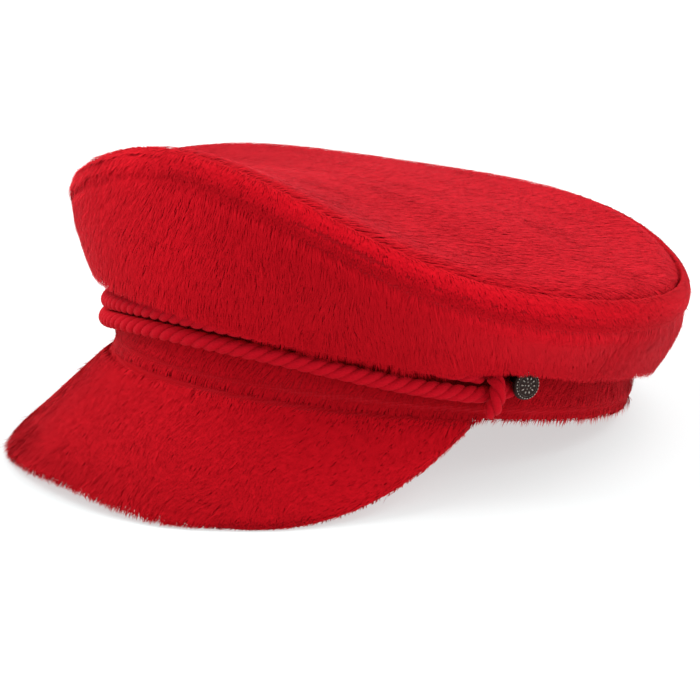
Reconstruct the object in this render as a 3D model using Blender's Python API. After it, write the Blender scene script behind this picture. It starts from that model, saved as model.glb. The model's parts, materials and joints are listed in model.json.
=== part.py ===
"""Greek fisherman cap in furry cloth: a soft crown of three panels, a band, a peak, two cords and two studs.

The cap is first modelled level, in its own frame: the band's lower rim lies in the plane z = 0, the front
is towards -Y and the wearer's left is towards +X. A turn is an angle round the head, 0 at the front and
growing towards the wearer's left. The whole cap is then set down on its peak and on the back of its band.
Lengths are in metres, turns in degrees.
"""
import math

import bpy
import numpy as np

# Band: the oval that the head goes into, a little narrower to the front.
HEAD_LENGTH = 0.194
HEAD_WIDTH = 0.165
HEAD_NARROWING = 0.08
BAND_SHIFT = 0.001
BAND_WALL = 0.003
BAND_HEIGHT = 0.036
BAND_EDGE = 0.0004

# Crown: the widest oval, the fold that hangs over the band and the seam round the top panel.
CROWN_LENGTH = 0.2232
CROWN_WIDTH = 0.225
CROWN_SHIFT = -0.0017
CROWN_HEIGHT = 0.060
TOP_DOME = 0.0075
EDGE_ROLL = 0.0014
CLOTH_WALL = 0.002
SEAM_INSET = 0.0048
SEAM_STRIP = 0.0098
OVERHANG = 0.0115
BACK_TUCK = 0.40
BACK_TUCK_POWER = 1.2
WALL_BELLY = 0.0022
FOLD_HEIGHT = 0.0204
FOLD_FRONT_LIFT = 0.0046
FOLD_RIGHT_LIFT = 0.0018
SIDE_SEAM_TURN = 98.5

# Peak: a stiff crescent under the band's lower rim.
PEAK_TURN = 74.8
PEAK_LENGTH = 0.0482
PEAK_TIP = 0.0017
PEAK_WALL = 0.0032
PEAK_SEAT = 0.0025
PEAK_FULLNESS = 1.62
PEAK_FALL_FRONT = 49.5
PEAK_FALL_SIDE = 44.5
PEAK_CURL = 0.8
PEAK_SPREAD = 0.44
PEAK_HEEL = 0.05

# Cords, their wraps and the studs that hold them. A chosen point of the upper cord's route keeps
# ROUTE_CLEAR degrees from the cord's end.
CORD_DIAMETER = 0.006
CORD_STANDOFF = 0.0005
CORD_POINT_STEP = 2.2
ROUTE_CLEAR = 3.0
WRAP_DIAMETER = 0.0052
WRAP_TURN = 76.4
WRAP_FROM = 105.0
WRAP_TO = -62.0
STUD_TURN = 82.9
STUD_HEIGHT = 0.0142
STUD_DIAMETER = 0.0104
CORD_END_HEIGHT = 0.0116
STUD_THICKNESS = 0.0026
SHANK_DIAMETER = 0.003

# Clearance between pieces that touch on the real cap.
GAP = 0.0003

# Height of the top seam round the cap, as shares of the crown's height over the band's lower rim.
SEAM_WAVES = (
    # waves round the cap, share along the middle, share towards the wearer's left
    (1, 0.054, -0.096),
    (2, 0.130, 0.073),
    (3, 0.052, 0.039),
    (4, 0.041, 0.009),
)

# Outer face of the side wall from the band's top edge to the stitch line.
WALL_ROWS = (
    # place, out and rise in overhangs from the fold line, climb from fold to stitch, belly
    ("tuck", 0.30, 0.95, 0.00, 0.0),
    ("under", 0.68, 0.27, 0.00, 0.0),
    ("fold", 0.92, 0.00, 0.00, 0.0),
    ("turn up", 1.12, 0.27, 0.00, 0.0),
    ("low wall", 1.15, 0.50, 0.22, 0.7),
    ("middle wall", 1.15, 0.50, 0.50, 1.0),
    ("high wall", 1.15, 0.50, 0.78, 0.6),
    ("below stitch", 1.15, 0.50, 0.95, 0.2),
)

# The padded strip between the stitch line and the seam, seen in section.
STRIP_ROWS = (
    # place, outer face inwards and down, inner face inwards and down, in seam insets and strip heights
    ("stitch", 0.27, 1.00, 0.72, 1.02),
    ("foot", 0.02, 0.84, 0.76, 0.90),
    ("belly", -0.08, 0.50, 0.82, 0.78),
    ("shoulder", 0.18, 0.12, 0.88, 0.66),
    ("crest", 0.62, -0.05, 0.94, 0.56),
    ("edge", 1.00, 0.11, 1.00, 0.46),
)

# Top panel from its middle to the seam.
TOP_ROWS = (
    # share of the way to the seam, share of the edge roll
    (0.16, 0.0),
    (0.34, 0.0),
    (0.52, 0.0),
    (0.68, 0.1),
    (0.81, 0.4),
    (0.90, 0.9),
    (0.96, 1.0),
    (0.99, 0.1),
)

# Soft hollows in the top panel.
TOP_DENTS = (
    # turn, share of the way to the seam, spread as a share of the crown's width, depth in cloth walls
    (52.0, 0.70, 0.16, 1.1),
    (-62.0, 0.66, 0.18, 0.9),
    (158.0, 0.60, 0.17, 0.7),
)

# Upright folds in the side wall: the two panel seams first, then loose cloth.
WALL_FOLDS = (
    # turn, half width in degrees, depth in cloth walls
    (SIDE_SEAM_TURN, 4.5, 0.8),
    (-SIDE_SEAM_TURN, 4.5, 0.8),
    (116.0, 8.0, 0.9),
    (140.0, 9.0, 0.7),
    (176.0, 10.0, 0.6),
    (-118.0, 8.0, 0.9),
    (-146.0, 9.0, 0.7),
    (-58.0, 10.0, 0.5),
    (60.0, 10.0, 0.5),
)

# Route of the two cords, from the wrap on the wearer's right to the wrap on the left.
CORD_ROUTE = (
    # turn in degrees, height of the lower cord's centre line, rise of the upper cord off it in diameters
    (-WRAP_TURN, 0.0095, 0.00),
    (-62.0, 0.0092, 0.00),
    (-46.0, 0.0090, 0.00),
    (-33.0, 0.0094, 0.00),
    (-16.0, 0.0123, 0.01),
    (4.0, 0.0147, 0.01),
    (16.0, 0.0150, 0.02),
    (30.0, 0.0146, 0.08),
    (42.0, 0.0132, 0.25),
    (52.0, 0.0116, 0.38),
    (62.0, 0.0101, 0.32),
    (70.0, 0.0094, 0.10),
    (WRAP_TURN, 0.0095, 0.00),
)

# Peak in section, from the band to its front edge.
PEAK_ROWS = (
    # share of the reach, upper face and lower face in walls below the upper face
    (0.20, 0.00, 1.00),
    (0.40, 0.00, 1.00),
    (0.60, 0.00, 1.00),
    (0.80, 0.00, 1.00),
    (0.95, 0.00, 1.00),
    (0.992, 0.18, 0.82),
    (1.00, 0.46, 0.54),
)

# Stud: a turned section from the foot of its shank to the middle of its face.
STUD_ROWS = (
    # place, radius in head radii, height in head thicknesses over the back of the head
    ("back", 0.92, 0.00),
    ("side", 1.00, 0.25),
    ("rim", 0.97, 0.70),
    ("rim top", 0.86, 0.86),
    ("groove", 0.74, 0.62),
    ("boss foot", 0.60, 0.66),
    ("boss", 0.38, 0.92),
)

# Looks: colour, roughness and metallic share.
CLOTH_LOOK = ((0.52, 0.006, 0.018), 0.90, 0.0)
TOP_LOOK = ((0.60, 0.012, 0.028), 0.90, 0.0)
CORD_LOOK = ((0.50, 0.008, 0.020), 0.85, 0.0)
STUD_LOOK = ((0.30, 0.28, 0.26), 0.35, 1.0)

# Fineness of the surfaces and of the searches. TURN_STEP is in radians, SHARP_ANGLE and REST_LIMITS
# are in degrees.

FRONT_PANEL_STEPS = 38
BACK_PANEL_STEPS = 34
ROUND_STEPS = 64
PEAK_STEPS = 44
STUD_STEPS = 20
WRAP_STEPS = 12
TUBE_ROUNDNESS = 2
CORD_SAMPLES = 241
TURN_STEP = 0.001
MITRE_LIMIT = 0.6
DENT_FADE = 6
SHARP_ANGLE = 40.0
REST_LIMITS = (-40.0, 20.0)
REST_HALVINGS = 50


def oval(turns, length, width, shift, narrowing=0.0):
    """Points of an oval in plan, one for each turn."""
    x = 0.5 * width * np.sin(turns) * (1.0 - narrowing * np.cos(turns))
    y = shift - 0.5 * length * np.cos(turns)
    return np.stack([x, y], axis=-1)


def at_height(plan, height):
    """Plan points lifted to a height, which may differ from point to point."""
    return np.concatenate([plan, np.broadcast_to(height, plan.shape[:-1])[..., None]], axis=-1)


def band_oval(turns, out):
    """The band's outer face, moved outwards."""
    length = HEAD_LENGTH + 2 * (BAND_WALL + out)
    width = HEAD_WIDTH + 2 * (BAND_WALL + out)
    return oval(turns, length, width, BAND_SHIFT, HEAD_NARROWING)


def crown_oval(turns, inwards):
    """The crown's widest oval, moved inwards."""
    return oval(turns, CROWN_LENGTH - 2 * inwards, CROWN_WIDTH - 2 * inwards, CROWN_SHIFT)


def top_height(turns, share):
    """Height of the top panel, share 0 at its middle and 1 at the seam."""
    height = np.full(np.shape(turns), CROWN_HEIGHT)
    for waves, middle, left in SEAM_WAVES:
        wave = middle * np.cos(waves * turns) + left * np.sin(waves * turns)
        height = height + CROWN_HEIGHT * share ** waves * wave
    return height + TOP_DOME * (1.0 - share ** 2)


def fold_height(turns):
    """Height of the fold that hangs over the band."""
    return FOLD_HEIGHT + FOLD_FRONT_LIFT * np.cos(turns) - FOLD_RIGHT_LIFT * np.sin(turns)


def wall_fold_depth(turns):
    """How far the upright folds draw the side wall in."""
    depth = np.zeros(np.shape(turns))
    for turn, spread, walls in WALL_FOLDS:
        away = np.angle(np.exp(1j * (turns - math.radians(turn))))
        depth = depth + CLOTH_WALL * walls * np.exp(-(away / math.radians(spread)) ** 2)
    return depth


def overhang(turns):
    """How far the crown hangs out over the band, less and less towards the back."""
    backwards = np.clip(-np.cos(turns), 0.0, 1.0)
    return OVERHANG * (1.0 - BACK_TUCK * backwards ** BACK_TUCK_POWER)


def wall_face(turns):
    """Outer face of the side wall below the strip: rows of points, one row for each turn."""
    seat = BAND_HEIGHT + GAP
    rows = [at_height(band_oval(turns, -BAND_WALL), seat), at_height(band_oval(turns, 2 * GAP), seat)]
    outwards = np.stack([np.sin(turns), -np.cos(turns)], axis=-1)
    stitch_line = crown_oval(turns, STRIP_ROWS[0][1] * SEAM_INSET)
    stitch_height = top_height(turns, 1.0) - SEAM_STRIP
    folds = wall_fold_depth(turns)
    for place, out, rise, climb, belly in WALL_ROWS:
        plan = band_oval(turns, overhang(turns) * out) * (1 - climb) + stitch_line * climb
        push = WALL_BELLY * belly - folds * 4 * climb * (1 - climb)
        low = fold_height(turns) + OVERHANG * rise
        height = low * (1 - climb) + stitch_height * climb
        rows.append(at_height(plan + outwards * np.reshape(push, (-1, 1)), height))
    return np.stack(rows, axis=1)


def strip_face(turns, inner):
    """Outer or inner face of the strip between stitch line and seam."""
    seam = top_height(turns, 1.0)
    rows = []
    for place, outer_in, outer_down, inner_in, inner_down in STRIP_ROWS:
        inwards = inner_in if inner else outer_in
        down = inner_down if inner else outer_down
        rows.append(at_height(crown_oval(turns, SEAM_INSET * inwards), seam - SEAM_STRIP * down))
    return np.stack(rows, axis=1)


def unit(vectors):
    return vectors / np.linalg.norm(vectors, axis=-1, keepdims=True)


def inside_of(face, turns, wall):
    """The face moved inwards by one wall, corners mitred."""
    grid = face(turns)
    round_way = face(turns + TURN_STEP) - face(turns - TURN_STEP)
    along = unit(np.diff(grid, axis=1))
    before = np.concatenate([along[:, :1], along], axis=1)
    after = np.concatenate([along, along[:, -1:]], axis=1)
    way = unit(before + after)
    normal = unit(np.cross(round_way, way))
    mitre = np.clip(np.sum(way * after, axis=-1, keepdims=True), MITRE_LIMIT, 1.0)
    return grid - normal * wall / mitre


def side_faces(turns):
    """Outer and inner face of the crown's side wall."""
    outer = np.concatenate([wall_face(turns), strip_face(turns, False)], axis=1)
    wall = inside_of(wall_face, turns, CLOTH_WALL)
    inner = np.concatenate([wall, strip_face(turns, True)], axis=1)
    return outer, inner


def add_object(name, data, look):
    """Link an object with its own material and hang it on the cap's empty."""
    colour, roughness, metallic = look
    material = bpy.data.materials.new(name)
    material.use_nodes = True
    surface = material.node_tree.nodes["Principled BSDF"]
    surface.inputs["Base Color"].default_value = (*colour, 1.0)
    surface.inputs["Roughness"].default_value = roughness
    surface.inputs["Metallic"].default_value = metallic
    data.materials.append(material)
    piece = bpy.data.objects.new(name, data)
    bpy.context.scene.collection.objects.link(piece)
    piece.parent = bpy.data.objects["cap"]


def add_mesh(name, points, faces, look):
    """A smooth shaded mesh piece with its faces pointing out."""
    mesh = bpy.data.meshes.new(name)
    mesh.from_pydata([tuple(point) for point in points], [], faces)
    mesh.shade_smooth()
    mesh.set_sharp_from_angle(angle=math.radians(SHARP_ANGLE))
    add_object(name, mesh, look)


def sheet_solid(outer, inner, closed):
    """Points and faces of a wall between two grids of rows, closed round the cap or capped at its ends.

    Seen from outside, the rows of the outer grid climb while its turns run to the right.
    """
    turns, rows = outer.shape[:2]
    points = np.concatenate([outer.reshape(-1, 3), inner.reshape(-1, 3)])
    behind = turns * rows
    faces = []
    for i in range(turns if closed else turns - 1):
        here = i * rows
        there = ((i + 1) % turns) * rows
        for k in range(rows - 1):
            faces.append((here + k, there + k, there + k + 1, here + k + 1))
            faces.append((behind + here + k + 1, behind + there + k + 1, behind + there + k, behind + here + k))
        last = rows - 1
        faces.append((behind + here, behind + there, there, here))
        faces.append((here + last, there + last, behind + there + last, behind + here + last))
    if not closed:
        end = (turns - 1) * rows
        for k in range(rows - 1):
            faces.append((k, k + 1, behind + k + 1, behind + k))
            faces.append((behind + end + k, behind + end + k + 1, end + k + 1, end + k))
    return points, faces


def disc_solid(top, bottom):
    """Points and faces of a round sheet whose middle closes in one point below and one above."""
    turns, rows = top.shape[:2]
    points, faces = sheet_solid(bottom, top, True)
    faces = [face for face in faces if not all(index % rows == 0 for index in face)]
    below = len(points)
    middle = np.stack([bottom[:, 0].mean(axis=0), top[:, 0].mean(axis=0)])
    for i in range(turns):
        here = i * rows
        there = ((i + 1) % turns) * rows
        faces.append((below, there, here))
        faces.append((below + 1, turns * rows + here, turns * rows + there))
    return np.concatenate([points, middle]), faces


def crown_side(name, start, stop, steps):
    """One panel of the crown's side wall, between two turns."""
    half_gap = math.degrees(GAP / CROWN_WIDTH)
    turns = np.radians(np.linspace(start + half_gap, stop - half_gap, steps + 1))
    outer, inner = side_faces(turns)
    points, faces = sheet_solid(outer, inner, False)
    add_mesh(name, points, faces, CLOTH_LOOK)
    return points


def top_dent_depth(plan):
    """Depth of the soft hollows at plan points of the top panel."""
    depth = np.zeros(plan.shape[:-1])
    for turn, share, spread, walls in TOP_DENTS:
        seam = crown_oval(np.radians(turn), SEAM_INSET) - np.array([0.0, CROWN_SHIFT])
        middle = seam * share + np.array([0.0, CROWN_SHIFT])
        away = np.linalg.norm(plan - middle, axis=-1) / (CROWN_WIDTH * spread)
        depth = depth + CLOTH_WALL * walls * np.exp(-away ** 2)
    return depth


def crown_top():
    """The domed top panel, its rim standing against the strip's edge."""
    turns = np.linspace(0.0, 2 * math.pi, ROUND_STEPS, endpoint=False)
    rim = crown_oval(turns, SEAM_INSET + GAP)
    centre = np.array([0.0, CROWN_SHIFT])
    seam = top_height(turns, 1.0)
    top = []
    for share, roll in TOP_ROWS:
        plan = centre + (rim - centre) * share
        fade = 1.0 - share ** DENT_FADE
        top.append(at_height(plan, top_height(turns, share) + EDGE_ROLL * roll - fade * top_dent_depth(plan)))
    bottom = [row - np.array([0.0, 0.0, CLOTH_WALL]) for row in top]
    edge_down, foot_down = STRIP_ROWS[-1][2], STRIP_ROWS[-1][4]
    top.append(at_height(rim, seam - SEAM_STRIP * edge_down))
    bottom.append(at_height(rim, seam - SEAM_STRIP * foot_down))
    points, faces = disc_solid(np.stack(top, axis=1), np.stack(bottom, axis=1))
    add_mesh("crown_top", points, faces, TOP_LOOK)
    return points


def band():
    """The upright band, its lower rim flat."""
    turns = np.linspace(0.0, 2 * math.pi, ROUND_STEPS, endpoint=False)
    middle = 0.5 * BAND_HEIGHT
    rows = (
        (BAND_EDGE, 0.0),
        (0.0, BAND_EDGE),
        (0.0, middle),
        (0.0, BAND_HEIGHT - BAND_EDGE),
        (BAND_EDGE, BAND_HEIGHT),
    )
    outer = np.stack([at_height(band_oval(turns, -inwards), height) for inwards, height in rows], axis=1)
    inner = np.stack([at_height(band_oval(turns, inwards - BAND_WALL), height) for inwards, height in rows], axis=1)
    points, faces = sheet_solid(outer, inner, True)
    add_mesh("band", points, faces, CLOTH_LOOK)
    return points


def peak():
    """The peak: a crescent that falls away from under the band, with a rounded front edge."""
    shares = np.linspace(-1.0, 1.0, PEAK_STEPS + 1)
    turns = np.radians(PEAK_TURN) * shares
    reach = PEAK_LENGTH * (1 - shares ** 2) * (1 + PEAK_FULLNESS * shares ** 2) + PEAK_TIP
    fall = np.radians(PEAK_FALL_FRONT + (PEAK_FALL_SIDE - PEAK_FALL_FRONT) * shares ** 2)
    half_length = 0.5 * HEAD_LENGTH + BAND_WALL
    half_width = 0.5 * HEAD_WIDTH + BAND_WALL
    heading = PEAK_SPREAD * np.arctan2(np.sin(turns) / half_width, np.cos(turns) / half_length)
    forwards = np.stack([np.sin(heading), -np.cos(heading)], axis=-1)
    rim = band_oval(turns, 0.0)
    seat = band_oval(turns, -PEAK_SEAT)

    def row(share, depth):
        """Points at a share of the reach, a depth below the upper face."""
        slope = fall + np.radians(PEAK_CURL) * (share - 0.5)
        run = reach * share * np.cos(slope) - depth * np.sin(slope)
        drop = reach * share * np.sin(slope) + depth * np.cos(slope)
        return at_height(rim + forwards * run[:, None], -GAP - drop)

    back_drop = PEAK_WALL / np.cos(fall) - PEAK_SEAT * np.tan(fall)
    upper = [at_height(seat, -GAP), at_height(rim, -GAP)]
    lower = [at_height(seat, -GAP - back_drop), row(PEAK_HEEL, PEAK_WALL)]
    for share, upper_down, lower_down in PEAK_ROWS:
        upper.append(row(share, PEAK_WALL * upper_down))
        lower.append(row(share, PEAK_WALL * lower_down))
    points, faces = sheet_solid(np.stack(lower, axis=1), np.stack(upper, axis=1), False)
    add_mesh("peak", points, faces, CLOTH_LOOK)
    return points


def smooth_route(turns, heights, samples):
    """Heights along a route, read from a smooth curve through its chosen points."""
    turns = np.asarray(turns)
    heights = np.asarray(heights)
    slopes = np.gradient(heights, turns)
    at = np.linspace(turns[0], turns[-1], samples)
    i = np.clip(np.searchsorted(turns, at) - 1, 0, len(turns) - 2)
    span = turns[i + 1] - turns[i]
    s = (at - turns[i]) / span
    start = (1 + 2 * s) * (1 - s) ** 2 * heights[i] + s * (1 - s) ** 2 * span * slopes[i]
    end = s ** 2 * (3 - 2 * s) * heights[i + 1] + s ** 2 * (s - 1) * span * slopes[i + 1]
    return at, start + end


def cord_out():
    """Distance of a cord's centre line from the band's outer face."""
    return CORD_STANDOFF + GAP + 0.5 * CORD_DIAMETER


def along_band(turns):
    """Level directions that run along the band's outer face, growing with the turn."""
    return unit(band_oval(turns + TURN_STEP, 0.0) - band_oval(turns - TURN_STEP, 0.0))


def beside_band(turns, out, height):
    """Points straight out from the band's outer face."""
    along = along_band(turns)
    away = np.stack([along[..., 1], -along[..., 0]], axis=-1)
    return at_height(band_oval(turns, 0.0) + away * out, height)


def tube(name, points, diameter):
    """A round cord along its points, its ends filled."""
    curve = bpy.data.curves.new(name, "CURVE")
    curve.dimensions = "3D"
    curve.bevel_depth = 0.5 * diameter
    curve.bevel_resolution = TUBE_ROUNDNESS
    curve.use_fill_caps = True
    spline = curve.splines.new("POLY")
    spline.points.add(len(points) - 1)
    for place, point in zip(spline.points, points):
        place.co = (*point, 1.0)
    spline.use_smooth = True
    add_object(name, curve, CORD_LOOK)


def cord(name, route):
    """A cord laid round the front of the band, along rows of turn and height."""
    at, height = smooth_route([turn for turn, _ in route], [height for _, height in route], CORD_SAMPLES)
    path = beside_band(np.radians(at), cord_out(), height)
    run = np.concatenate([[0.0], np.cumsum(np.linalg.norm(np.diff(path, axis=0), axis=1))])
    count = max(2, round(run[-1] / (CORD_POINT_STEP * CORD_DIAMETER))) + 1
    even = np.linspace(0.0, run[-1], count)
    points = np.stack([np.interp(even, run, path[:, axis]) for axis in range(3)], axis=-1)
    tube(name, points, CORD_DIAMETER)


def turn_back(turn, length):
    """The turn that lies a length round the band before another."""
    return turn - math.degrees(length / (0.5 * HEAD_LENGTH + BAND_WALL + cord_out()))


def cords():
    """Lower cord from stud to stud, upper cord from wrap to wrap."""
    stud_end = turn_back(STUD_TURN, 0.5 * SHANK_DIAMETER + 2 * GAP)
    lower = [(turn, height) for turn, height, rise in CORD_ROUTE]
    cord("cord_lower", [(-stud_end, CORD_END_HEIGHT), *lower, (stud_end, CORD_END_HEIGHT)])
    upper = [(turn, height + GAP + CORD_DIAMETER * (1 + rise)) for turn, height, rise in CORD_ROUTE]
    wrap_end = turn_back(WRAP_TURN, 0.5 * WRAP_DIAMETER + 2 * GAP)
    kept = [row for row in upper if abs(row[0]) < wrap_end - ROUTE_CLEAR]
    cord("cord_upper", [(-wrap_end, upper[0][1]), *kept, (wrap_end, upper[-1][1])])


def wrap(name, side):
    """The end of the upper cord, wrapped over the lower one from above and behind to below."""
    turn = math.radians(side * WRAP_TURN)
    height = CORD_ROUTE[-1][1]
    reach = 0.5 * (CORD_DIAMETER + WRAP_DIAMETER) + 3 * GAP
    angles = np.radians(np.linspace(WRAP_FROM, WRAP_TO, WRAP_STEPS + 1))
    outs = cord_out() + reach * np.cos(angles)
    points = [beside_band(turn, out, height + reach * math.sin(a)) for out, a in zip(outs, angles)]
    tube(name, points, WRAP_DIAMETER)


def stud(name, side):
    """A round metal stud over the end of the lower cord, its shank standing on the band."""
    turn = math.radians(side * STUD_TURN)
    ring = np.linspace(0.0, 2 * math.pi, STUD_STEPS, endpoint=False)
    head = 0.5 * STUD_DIAMETER
    back = cord_out() + 0.5 * CORD_DIAMETER + GAP
    section = [(0.5 * SHANK_DIAMETER, GAP), (0.5 * SHANK_DIAMETER, back)]
    section += [(head * radius, back + STUD_THICKNESS * rise) for place, radius, rise in STUD_ROWS]
    along = at_height(along_band(turn), 0.0)
    up = np.array([0.0, 0.0, 1.0])
    circle = np.cos(ring)[:, None] * along + np.sin(ring)[:, None] * up
    points = [beside_band(turn, out, STUD_HEIGHT) + radius * circle for radius, out in section]
    points = list(np.concatenate(points))
    points.append(beside_band(turn, GAP, STUD_HEIGHT))
    points.append(beside_band(turn, back + STUD_THICKNESS, STUD_HEIGHT))
    faces = []
    for k in range(len(section) - 1):
        for i in range(STUD_STEPS):
            j = (i + 1) % STUD_STEPS
            low, high = k * STUD_STEPS, (k + 1) * STUD_STEPS
            faces.append((low + i, low + j, high + j, high + i))
    first_pole = len(points) - 2
    top_ring = (len(section) - 1) * STUD_STEPS
    for i in range(STUD_STEPS):
        j = (i + 1) % STUD_STEPS
        faces.append((first_pole, j, i))
        faces.append((first_pole + 1, top_ring + i, top_ring + j))
    add_mesh(name, points, faces, STUD_LOOK)


def tilted(points, angle):
    """Points after the cap has been tilted nose up."""
    y = points[:, 1] * math.cos(angle) - points[:, 2] * math.sin(angle)
    z = points[:, 1] * math.sin(angle) + points[:, 2] * math.cos(angle)
    return np.stack([points[:, 0], y, z], axis=-1)


def rest_angle(front, back):
    """The tilt at which the peak and the back of the band touch the same surface."""
    low, high = np.radians(REST_LIMITS)
    for _ in range(REST_HALVINGS):
        middle = 0.5 * (low + high)
        if tilted(front, middle)[:, 2].min() > tilted(back, middle)[:, 2].min():
            low = middle
        else:
            high = middle
    return 0.5 * (low + high)


def main():
    for old in list(bpy.data.objects):
        bpy.data.objects.remove(old)
    cap = bpy.data.objects.new("cap", None)
    bpy.context.scene.collection.objects.link(cap)
    front_panel = crown_side("crown_side_front", -SIDE_SEAM_TURN, SIDE_SEAM_TURN, FRONT_PANEL_STEPS)
    back_panel = crown_side("crown_side_back", SIDE_SEAM_TURN, 360.0 - SIDE_SEAM_TURN, BACK_PANEL_STEPS)
    top_panel = crown_top()
    band_points = band()
    peak_points = peak()
    cords()
    for side_name, side in (("left", 1), ("right", -1)):
        wrap("cord_wrap_" + side_name, side)
        stud("stud_" + side_name, side)
    angle = rest_angle(peak_points, band_points)
    cloth = np.concatenate([front_panel, back_panel, top_panel, band_points, peak_points])
    placed = tilted(cloth, angle)
    low, high = placed.min(axis=0), placed.max(axis=0)
    cap.rotation_euler = (angle, 0.0, 0.0)
    cap.location = (-0.5 * (low[0] + high[0]), -0.5 * (low[1] + high[1]), -low[2])


main()
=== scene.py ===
"""Furry red fisherman cap: cloth panels with a combed pile, twisted cords, keeper wraps, studs and a studio.

The cap's own upright direction leans back a little, because the cap rests on its peak and on the back of its
band. A turn is an angle round the cap in degrees, 0 at the front and growing towards the wearer's left.
Lengths are in metres. A table is a dictionary from places along a line, mostly turns, to values there.
"""
import json
import math

import bmesh
import bpy
import numpy as np
from mathutils import Matrix, Vector
from mathutils.bvhtree import BVHTree
from mathutils.kdtree import KDTree

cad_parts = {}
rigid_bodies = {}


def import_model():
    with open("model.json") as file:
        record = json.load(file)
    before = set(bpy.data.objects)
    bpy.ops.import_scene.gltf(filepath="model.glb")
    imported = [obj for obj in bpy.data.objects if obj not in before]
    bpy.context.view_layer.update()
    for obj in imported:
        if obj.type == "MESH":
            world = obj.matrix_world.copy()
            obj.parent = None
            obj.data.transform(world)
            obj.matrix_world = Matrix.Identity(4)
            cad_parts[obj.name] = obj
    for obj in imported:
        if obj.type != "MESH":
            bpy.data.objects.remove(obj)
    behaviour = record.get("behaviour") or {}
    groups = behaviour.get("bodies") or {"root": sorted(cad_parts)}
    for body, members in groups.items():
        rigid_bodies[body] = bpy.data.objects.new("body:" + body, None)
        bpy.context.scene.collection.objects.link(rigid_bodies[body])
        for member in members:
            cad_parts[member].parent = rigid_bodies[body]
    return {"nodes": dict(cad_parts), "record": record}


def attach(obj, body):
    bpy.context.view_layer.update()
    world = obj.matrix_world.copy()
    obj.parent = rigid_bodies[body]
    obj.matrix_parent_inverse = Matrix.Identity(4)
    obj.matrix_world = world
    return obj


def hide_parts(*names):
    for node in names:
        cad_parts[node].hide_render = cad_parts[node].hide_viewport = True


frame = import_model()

bl_info = {
    "name": "Furry Fisherman Cap",
    "version": (1, 0, 0),
    "blender": (4, 5, 0),
    "location": "3D View > Sidebar > Cap",
    "description": "Dresses the packed cap in furry cloth, twisted cords and metal studs",
    "category": "Object",
}

# The band's flat lower rim, as the record's first mount states it, gives the cap's own directions.
RIM = frame["record"]["mounts"][0]
RIM_POINT = np.array(RIM["pos_m"])
CAP_UP = -np.array(RIM["axis"]) / np.linalg.norm(RIM["axis"])
CAP_LEFT = np.array([1.0, 0.0, 0.0])
CAP_BACK = np.cross(CAP_UP, CAP_LEFT)

SIDE_NODES = ("crown_side_front", "crown_side_back")
CLOTH_NODES = {
    "crown_side_front": "crown_front_cloth",
    "crown_side_back": "crown_back_cloth",
    "crown_top": "crown_top_cloth",
    "band": "band_cloth",
    "peak": "peak_cloth",
}

# Painted light and shade: the factor on the pile's colour on the crown's wall, on its stitched strip and on
# the band at each turn, standing in for the light that the nap catches there.
WALL_LIGHT = {-60: 0.90, -15: 0.90, 0: 0.92, 8: 0.97, 16: 0.82, 24: 0.77, 32: 0.66, 42: 0.62, 54: 0.63,
              64: 0.77, 74: 0.87, 88: 0.84, 100: 0.76, 130: 0.80}
STRIP_LIGHT = {-60: 0.66, -10: 0.68, 0: 0.74, 10: 0.88, 30: 0.96, 60: 1.06, 75: 0.88, 90: 0.62, 105: 0.48,
               120: 0.46}
BAND_LIGHT = {-60: 1.30, -19: 1.40, 15: 1.15, 36: 0.88, 48: 0.72, 61: 0.62, 80: 0.66, 100: 0.92, 117: 1.35,
              135: 1.45}
# Slant of the nap towards the wearer's left: in degrees at each turn of the wall, and on the band.
FRONT_SLANT = {-98: -24, -51: -16, -20: -14, -2: -13, 7: -5, 22: -3, 35: 2, 47: 9, 61: 17, 77: 25, 86: 27,
               93: 16, 98: 3}
BAND_SLANT = math.radians(-28)
BACK_SLANT = {98: 3, 104: 14, 112: 27, 135: 14, 180: 0, 246: 6, 262: -24}
# How far the pile hangs below the crown's fold, over the cords, at each turn.
FRINGE_DROP = {-20: 0.0024, 6: 0.0026, 30: 0.0068, 53: 0.0098, 62: 0.0088, 68: 0.0052, 74: 0.0032,
               80: 0.0026, 98: 0.0032}
# How far the peak's pile may pass its edge, by the distance to the wearer's left of the middle.
PEAK_TRIM = {-0.08: 0.0026, -0.04: 0.0012, 0.0: 0.0014, 0.02: 0.0030, 0.04: 0.0038, 0.05: 0.0022,
             0.058: -0.0006}

# Turns of the upright seams and of the peak's ends, the height of its seam, and the fold's table's step.
SIDE_SEAM_TURN = 98.5
PEAK_TURN = 74
PEAK_SEAM_HEIGHT = 0.0028
FOLD_STEP = 4
CROWN_RADIUS = 0.112
# The band's stitched hem, and how wide the sunken lines along it and along the crown's stitches are.
HEM_HEIGHT = 0.0036
HEM_WIDTH = 0.0010
STITCH_WIDTH = 0.0009
# Points this close are one point, and edges this close are brought together by this share of the gap.
WELD = 0.00001
SEAM_GAP = 0.0006
SEAM_PULL = 0.97
# Faces this flat are joined, edges this sharp stay sharp, and high creases this deep are the stitch line.
JOIN_ANGLE = math.radians(60)
SHARP_ANGLE = math.radians(55)
CREASE_ANGLE = math.radians(-14)
CREASE_HEIGHT = 0.028
# Rays start this far over cloth, hairs end this far over the floor, and cloth this close to a seat is bare.
LIFT = 0.0003
SEAT_GAP = 0.00045
# A hair starts in the cloth. Its points are at these shares of its length, with these widths.
ROOT_DEPTH = 0.0002
HAIR_STEPS = (0.0, 0.5, 1.0)
HAIR_TAPER = (0.8, 1.0, 0.1)
# How finely a cord's plies and a stud's face are divided.
CORD_SIDES = 12
CORD_SPACING = 0.0009
RELIEF_RINGS = 40
RELIEF_STEPS = 156


# Sizes and colours that a user may change


def colour_setting(name, description, default):
    return bpy.props.FloatVectorProperty(name=name, description=description, subtype="COLOR", default=default)


def length_setting(name, description, default):
    return bpy.props.FloatProperty(
        name=name, description=description, subtype="DISTANCE", unit="LENGTH", default=default)


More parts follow.
